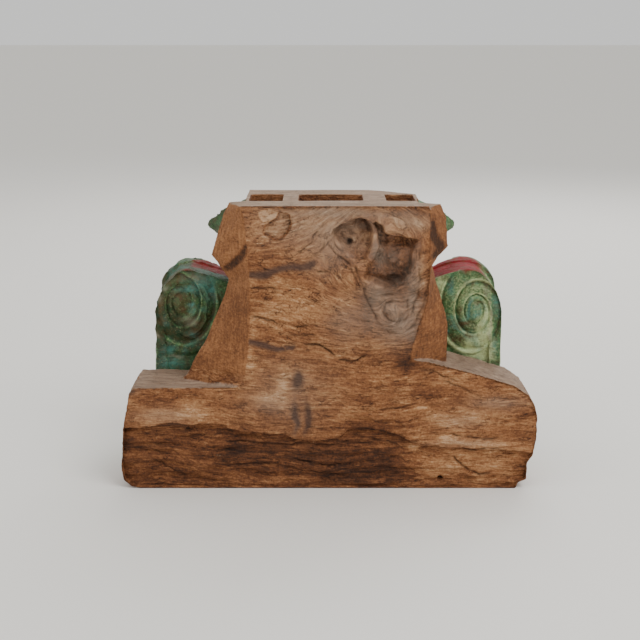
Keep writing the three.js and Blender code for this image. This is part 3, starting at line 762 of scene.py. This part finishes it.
def linear(hex_colour):
    """sRGB hex such as '#8a5a3c' as linear red, green, blue and alpha 1."""
    parts = np.array([int(hex_colour[i:i + 2], 16) for i in (1, 3, 5)]) / 255
    parts = np.where(parts <= 0.04045, parts / 12.92, ((parts + 0.055) / 1.055) ** 2.4)
    return (*parts.tolist(), 1.0)


def add(kind, settings, *values, output=0, **named):
    """Adds a node with its settings and returns one of its outputs. Plain values and sockets fill the inputs
    in order. Named ones have _ for a space, or i and the input's number."""
    made = tree.nodes.new("ShaderNode" + kind)
    for key, value in settings.items():
        setattr(made, key, value)
    keys = [int(key[1:]) if key[1:].isdigit() else key.replace("_", " ") for key in named]
    for key, value in [*enumerate(values), *zip(keys, named.values())]:
        if isinstance(value, bpy.types.NodeSocket):
            tree.links.new(value, made.inputs[key])
        else:
            made.inputs[key].default_value = value
    return made.outputs[output]


def read_map(name):
    """The four numbers of one map on the surface."""
    layer = add("Attribute", {"attribute_name": name}, output="Color")
    parts = add("SeparateColor", {}, layer).node
    return (*parts.outputs, layer.node.outputs["Alpha"])


def pattern(vector, size_mm, detail, rough=0.55, warp=0.0):
    """Noise whose features are about the three sizes in millimetres."""
    mapped = add("Mapping", {}, Vector=vector, Scale=tuple(1000 / size for size in size_mm))
    return add("TexNoise", {}, Vector=mapped, Scale=1.0, Detail=detail, Roughness=rough, Distortion=warp,
               output="Fac")


def swing(value, amount):
    """A pattern spread to its full range, as a change of that amount either way."""
    return add("Math", TIMES, add("Math", MINUS, add("MapRange", {}, value, 0.3, 0.7)), amount)


def lines(value, width):
    """Thin lines where a pattern passes its middle value."""
    distance = add("Math", {"operation": "ABSOLUTE"}, add("Math", MINUS, value))
    return add("Math", MINUS, 1.0, add("MapRange", {}, distance, 0.0, width))

# %% [markdown]
# ### Patterns
# Fibres, short splinters and drying checks follow the grain. Grit, specks, blotches and the edges of small
# flakes have no direction. Flakes show most on the body above the log, which was hewn and not split.

# %% Patterns
place = add("TexCoord", {}, output="Object")
along = add("Attribute", {"attribute_name": "grain"}, output="Vector")
tone, grey_and_sheen, crack_and_hole_shade, sawn = read_map("wood_map")
cover, lightness, redness, stain = read_map("paint_map")
teal_mark, brown_mark, pale_mark, knot_mark = read_map("marks_map")

fibres = pattern(along, (30, 6, 4.2), 5, 0.6, 0.5)
splinters = pattern(along, (9, 3, 2.0), 3, 0.6, 0.4)
checks = lines(pattern(along, (34, 9, 8), 4, 0.6, 0.8), 0.016)
checks = add("Math", TIMES, checks, add("MapRange", {}, pattern(place, (20, 20, 14), 2), 0.45, 0.6))
grit = pattern(place, (2.6, 2.6, 2.6), 2, 0.7)
blotch = pattern(place, (34, 22, 16), 3)
specks = pattern(place, (4, 3, 3), 3, 0.7)
flakes = pattern(place, (19, 16, 12), 5, 0.62, 0.5)
flake_places = add("MapRange", {}, pattern(place, (15, 15, 12), 3), 0.46, 0.58)
height_up = add("SeparateXYZ", {}, place, output="Z")
on_body = add("Math", TIMES, add("MapRange", {}, height_up, 0.14, 0.2), 0.75)
on_body = add("Math", PLUS, 0.25, on_body)
flake_edges = add("Math", TIMES, add("Math", TIMES, lines(flakes, 0.02), flake_places), on_body)
calm = add("MapRange", {}, pattern(place, (46, 40, 28), 2), 0.42, 0.6)
calm = add("Math", PLUS, 0.5, add("Math", TIMES, calm, 0.5))
print("patterns", len(tree.nodes), "nodes")

# %% [markdown]
# ### Bare timber
# Split wood is one scale from dark to pale, led by the tone, with calmer and wilder stretches of fibre.
# Sawn wood is a warm caramel with upright saw scratches. Over both lie weathered grey, which on the upward
# faces is also a painted sheen of the sky, dark streaks, and painted shade in the cracks and holes.

# %% Timber
value = add("Math", PLUS, tone, add("Math", TIMES, swing(fibres, 0.4), calm))
value = add("Math", PLUS, value, swing(splinters, 0.22))
value = add("Math", PLUS, value, swing(grit, 0.18))
value = add("Math", PLUS, value, swing(blotch, 0.2))
# Drying checks and flake edges are painted darker, as the shade in these fine grooves.
value = add("Math", MINUS, value, add("Math", TIMES, checks, 0.3))
value = add("Math", MINUS, value, add("Math", TIMES, flake_edges, 0.3))
timber = add("ValToRGB", {}, value)
stops = [
    (0.0, "#22120b"), (0.22, "#422513"), (0.42, "#683d21"), (0.58, "#8a5935"), (0.76, "#aa7b52"),
    (1.0, "#d0a882"),
]
ramp_points = timber.node.color_ramp.elements
while len(ramp_points) < len(stops):
    ramp_points.new(0.5)
for element, (position, colour) in zip(ramp_points, stops):
    element.position = position
    element.color = linear(colour)

cut = add("Math", PLUS, add("Math", PLUS, tone, swing(blotch, 0.14)), swing(splinters, 0.26))
cut = add("Math", PLUS, cut, swing(grit, 0.2))
cut = add("Math", PLUS, cut, swing(pattern(place, (2.6, 2.6, 15), 3, 0.65), 0.3))
share = add("MapRange", {}, cut, 0.1, 0.5)
caramel = add("Mix", COLOUR, share, i6=linear("#3f2513"), i7=linear("#7a4c2b"), output=2)
share = add("MapRange", {}, cut, 0.5, 0.9)
caramel = add("Mix", COLOUR, share, i6=caramel, i7=linear("#a77348"), output=2)
timber = add("Mix", COLOUR, add("Math", TIMES, sawn, 0.9), i6=timber, i7=caramel, output=2)

# The weathered grey, which on the upward faces also stands for a painted sheen of the sky.
share = add("MapRange", {}, fibres, 0.3, 0.7)
weathered_grey_and_sheen = add("Mix", COLOUR, share, i6=linear("#705a49"), i7=linear("#b29e8a"), output=2)
share = add("MapRange", {}, grit, 0.35, 0.7)
weathered_grey_and_sheen = add("Mix", COLOUR, share, i6=weathered_grey_and_sheen, i7=linear("#907a68"), output=2)
# The last layer is the painted shade in the cracks and holes.
for amount, strength, over in ((grey_and_sheen, 0.82, weathered_grey_and_sheen), (stain, 0.85, linear("#46332c")),
                               (crack_and_hole_shade, 0.75, linear("#29160b"))):
    timber = add("Mix", COLOUR, add("Math", TIMES, amount, strength), i6=timber, i7=over, output=2)
print("timber", len(tree.nodes), "nodes")

# %% [markdown]
# ### Old paint
# Greens run by lightness from bottle green to a pale yellow green, with bluer patches, and the red is a
# deep earthy one. Dirt lies on the paint, pale marks are worn, and where it was rubbed it has light and
# dark flecks. Gesso shows at the paint's edges, and bare timber beyond.

# %% Paint
wear = add("Math", PLUS, cover, swing(specks, 0.42))
wear = add("Math", PLUS, wear, swing(blotch, 0.35))
painted = add("MapRange", {}, wear, 0.5, 0.56)
shade = add("Math", PLUS, add("Math", PLUS, lightness, swing(specks, 0.3)), swing(grit, 0.26))
blue_patches = add("MapRange", {}, pattern(place, (26, 22, 24), 2), 0.56, 0.68)
teal = add("Math", PLUS_HELD, teal_mark, add("Math", TIMES, blue_patches, 0.4))
share = add("MapRange", {}, shade, 0.1, 0.5)
green = add("Mix", COLOUR, share, i6=linear("#243f24"), i7=linear("#4f7446"), output=2)
share = add("MapRange", {}, shade, 0.5, 0.95)
green = add("Mix", COLOUR, share, i6=green, i7=linear("#b6c48c"), output=2)
green = add("Mix", COLOUR, teal, i6=green, i7=linear("#4f8a80"), output=2)
share = add("MapRange", {}, blotch, 0.3, 0.7)
red = add("Mix", COLOUR, share, i6=linear("#74121a"), i7=linear("#9c2229"), output=2)
paint = add("Mix", COLOUR, redness, i6=green, i7=red, output=2)

soiling = add("Math", MINUS, pattern(place, (9, 9, 8), 5, 0.65), add("Math", TIMES, lightness, 0.1))
dirt = add("Math", TIMES, add("MapRange", {}, soiling, 0.4, 0.58), 0.5)
dirt = add("Math", PLUS_HELD, dirt, add("Math", TIMES, brown_mark, 0.75))
rubbed = add("MapRange", {}, pattern(place, (30, 26, 22), 3), 0.44, 0.6)
rubbed = add("Math", TIMES, rubbed, 0.55)
light_fleck = add("Math", TIMES, add("MapRange", {}, grit, 0.6, 0.7), rubbed)
dark_fleck = add("Math", TIMES, add("MapRange", {}, grit, 0.4, 0.3), rubbed)
for share, over in ((dirt, "#564528"), (add("Math", TIMES, pale_mark, 0.8), "#9d9681"),
                    (light_fleck, "#8f8f6c"), (dark_fleck, "#2a3120")):
    paint = add("Mix", COLOUR, share, i6=paint, i7=linear(over), output=2)

share = add("MapRange", {}, specks, 0.5, 0.6)
gesso = add("Mix", COLOUR, share, i6=timber, i7=linear("#a39a80"), output=2)
ground = add("Mix", COLOUR, add("MapRange", {}, wear, 0.3, 0.5), i6=timber, i7=gesso, output=2)
surface_colour = add("Mix", COLOUR, painted, i6=ground, i7=paint, output=2)
print("paint", len(tree.nodes), "nodes")

# %% [markdown]
# ### Fine relief and gloss
# The fine relief is weaker under paint and on sawn wood. Green paint and the handled knot are smoother than
# bare wood, and the red paint reflects less.

# %% Relief and gloss
height = add("Math", TIMES, swing(fibres, 1.0), calm)
height = add("Math", PLUS, height, swing(splinters, 0.9))
height = add("Math", MINUS, height, add("Math", TIMES, checks, 0.7))
height = add("Math", PLUS, height, add("Math", TIMES, swing(flakes, 1.6), on_body))
height = add("Math", MINUS, height, add("Math", TIMES, flake_edges, 0.7))
smooth_share = add("Math", TIMES, add("Math", {"operation": "MAXIMUM"}, painted, sawn), 0.6)
height = add("Math", TIMES, height, add("Math", MINUS, 1.0, smooth_share))
height = add("Math", PLUS, height, swing(grit, 0.35))
height = add("Math", PLUS, height, add("Math", TIMES, painted, 0.3))
bump = add("Bump", {}, Strength=0.85, Distance=0.0012, Height=height)
gloss = add("Math", MINUS, 0.78, add("Math", TIMES, painted, 0.24))
gloss = add("Math", MINUS, gloss, add("Math", TIMES, knot_mark, 0.26))
gloss = add("Math", PLUS_HELD, gloss, swing(specks, 0.16))
shine = add("Math", MINUS_HELD, 0.3, add("Math", TIMES, redness, 0.24))
shader = add("BsdfPrincipled", {}, Base_Color=surface_colour, Roughness=gloss, Normal=bump,
             Specular_IOR_Level=shine)
surface_output = tree.nodes.new("ShaderNodeOutputMaterial")
tree.links.new(shader, surface_output.inputs["Surface"])
print("finish", len(tree.nodes), "nodes")

# %% The piece and its finish
capital.data.materials.append(material)
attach(capital, "root")
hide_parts("carved_capital")

# %% [markdown]
# ## Floor and light
# A plain pale floor and a large soft light from the upper right, with a weak one from the left, one for the
# carved front, and a pale sky all round.

# %% Floor and light
floor_mesh = bpy.data.meshes.new("floor")
floor_mesh.from_pydata([(-30, -30, 0), (30, -30, 0), (30, 30, 0), (-30, 30, 0)], [], [(0, 1, 2, 3)])
floor = bpy.data.objects.new("floor", floor_mesh)
bpy.context.collection.objects.link(floor)
floor_paint = bpy.data.materials.new("matt pale floor")
floor_paint.use_nodes = True
floor_shader = floor_paint.node_tree.nodes["Principled BSDF"]
floor_shader.inputs["Base Color"].default_value = linear("#efece6")
floor_shader.inputs["Roughness"].default_value = 0.9
floor.data.materials.append(floor_paint)

sky = bpy.data.worlds.new("pale sky")
sky.use_nodes = True
sky.node_tree.nodes["Background"].inputs["Color"].default_value = linear("#f1f1ef")
sky.node_tree.nodes["Background"].inputs["Strength"].default_value = 0.95
bpy.context.scene.world = sky


def soft_light(name, place, turn, size, watts):
    """A square area light with its place in metres and its turn in degrees."""
    data = bpy.data.lights.new(name, "AREA")
    data.size = size
    data.energy = watts
    lamp = bpy.data.objects.new(name, data)
    lamp.location = place
    lamp.rotation_euler = np.radians(turn)
    bpy.context.collection.objects.link(lamp)


soft_light("key", (1.3, -1.5, 2.2), (42, 0, 40), 1.5, 40)
soft_light("fill", (-1.8, -1.2, 1.4), (58, 0, -55), 1.8, 6)
soft_light("front side", (0.6, 2.0, 1.8), (48, 0, 163), 1.8, 30)
